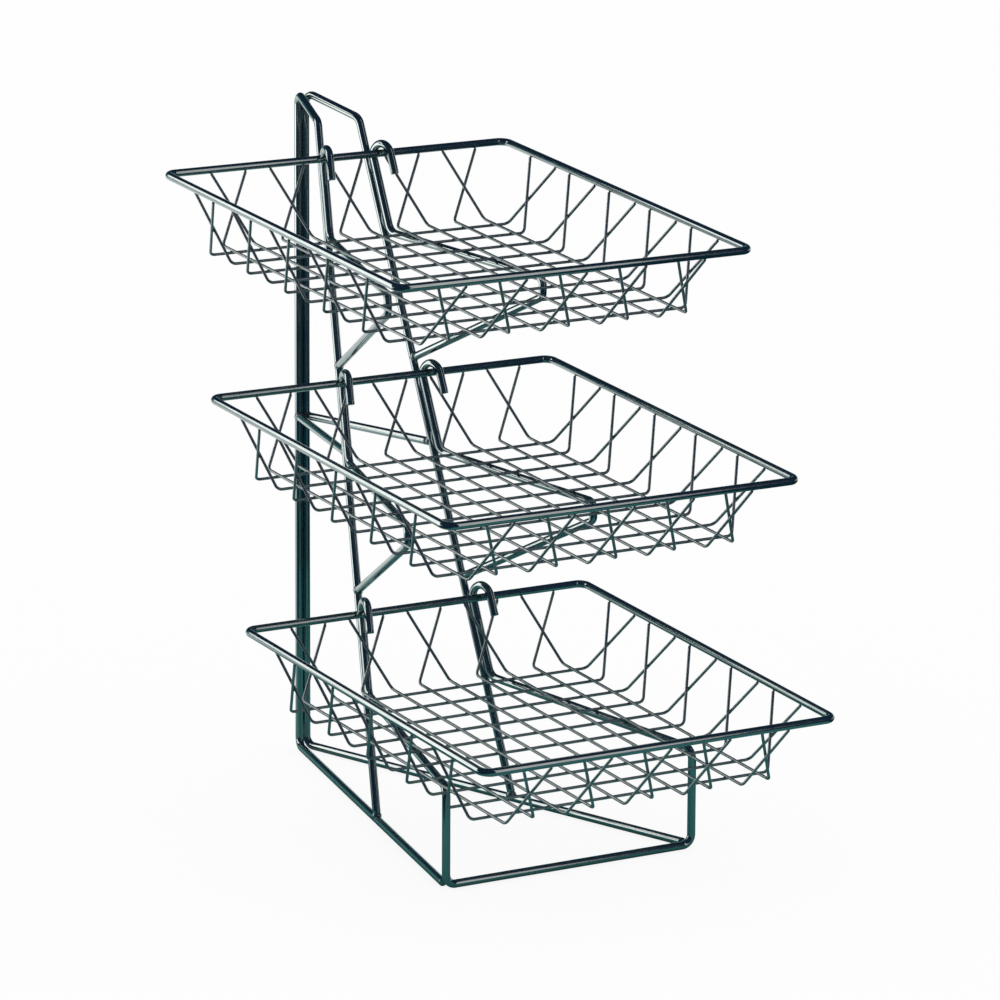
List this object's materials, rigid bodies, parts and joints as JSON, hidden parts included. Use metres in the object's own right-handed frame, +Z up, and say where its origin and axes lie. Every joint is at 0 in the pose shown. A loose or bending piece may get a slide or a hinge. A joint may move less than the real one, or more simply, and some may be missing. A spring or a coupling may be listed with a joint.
{
  "type": "wire display rack",
  "caption": "Tiered counter display rack of welded wire: a splayed V frame whose hooks and braced arms carry loose wire mesh baskets that tip up at the front.",
  "frame": {"origin": "on the counter, midway between the two rear posts", "axes": "+X to the right as seen from the front, +Z up, the front of the rack and its baskets faces -Y"},
  "size_m": [0.3205, 0.5414, 0.5357],
  "materials": {
    "frame_wire": "nickel-chrome plated mild steel wire, bright and smooth",
    "basket_rim_wire": "nickel-chrome plated mild steel wire, bright and smooth",
    "basket_mesh_wire": "nickel-chrome plated thin steel wire, bright, welded at each crossing"
  },
  "bodies": {
    "frame": {"front_loop": "frame_wire", "mid_brace_left": "frame_wire", "mid_brace_right": "frame_wire", "mid_bracket_left": "frame_wire", "mid_bracket_right": "frame_wire", "side_frame_left": "frame_wire", "side_frame_right": "frame_wire", "top_bracket_left": "frame_wire", "top_bracket_right": "frame_wire"},
    "top_basket": {"top_basket_cross_pair_1": "basket_mesh_wire", "top_basket_cross_pair_2": "basket_mesh_wire", "top_basket_cross_pair_3": "basket_mesh_wire", "top_basket_cross_pair_4": "basket_mesh_wire", "top_basket_cross_pair_5": "basket_mesh_wire", "top_basket_long_pair_1": "basket_mesh_wire", "top_basket_long_pair_2": "basket_mesh_wire", "top_basket_long_pair_3": "basket_mesh_wire", "top_basket_long_pair_4": "basket_mesh_wire", "top_basket_long_pair_5": "basket_mesh_wire", "top_basket_rim": "basket_rim_wire"},
    "mid_basket": {"mid_basket_cross_pair_1": "basket_mesh_wire", "mid_basket_cross_pair_2": "basket_mesh_wire", "mid_basket_cross_pair_3": "basket_mesh_wire", "mid_basket_cross_pair_4": "basket_mesh_wire", "mid_basket_cross_pair_5": "basket_mesh_wire", "mid_basket_long_pair_1": "basket_mesh_wire", "mid_basket_long_pair_2": "basket_mesh_wire", "mid_basket_long_pair_3": "basket_mesh_wire", "mid_basket_long_pair_4": "basket_mesh_wire", "mid_basket_long_pair_5": "basket_mesh_wire", "mid_basket_rim": "basket_rim_wire"},
    "bottom_basket": {"bottom_basket_cross_pair_1": "basket_mesh_wire", "bottom_basket_cross_pair_2": "basket_mesh_wire", "bottom_basket_cross_pair_3": "basket_mesh_wire", "bottom_basket_cross_pair_4": "basket_mesh_wire", "bottom_basket_cross_pair_5": "basket_mesh_wire", "bottom_basket_long_pair_1": "basket_mesh_wire", "bottom_basket_long_pair_2": "basket_mesh_wire", "bottom_basket_long_pair_3": "basket_mesh_wire", "bottom_basket_long_pair_4": "basket_mesh_wire", "bottom_basket_long_pair_5": "basket_mesh_wire", "bottom_basket_rim": "basket_rim_wire"}
  },
  "joints": [
    {"name": "top_basket_lift", "type": "hinge", "parent": "frame", "child": "top_basket", "pos_m": [0, -0.08066, 0.4955], "axis": [-1, 0, 0], "range_deg": [0, 12]},
    {"name": "mid_basket_lift", "type": "hinge", "parent": "frame", "child": "mid_basket", "pos_m": [0, -0.13328, 0.329], "axis": [-1, 0, 0], "range_deg": [0, 8]},
    {"name": "bottom_basket_lift", "type": "hinge", "parent": "frame", "child": "bottom_basket", "pos_m": [0, -0.18652, 0.158], "axis": [-1, 0, 0], "range_deg": [0, 12]}
  ]
}
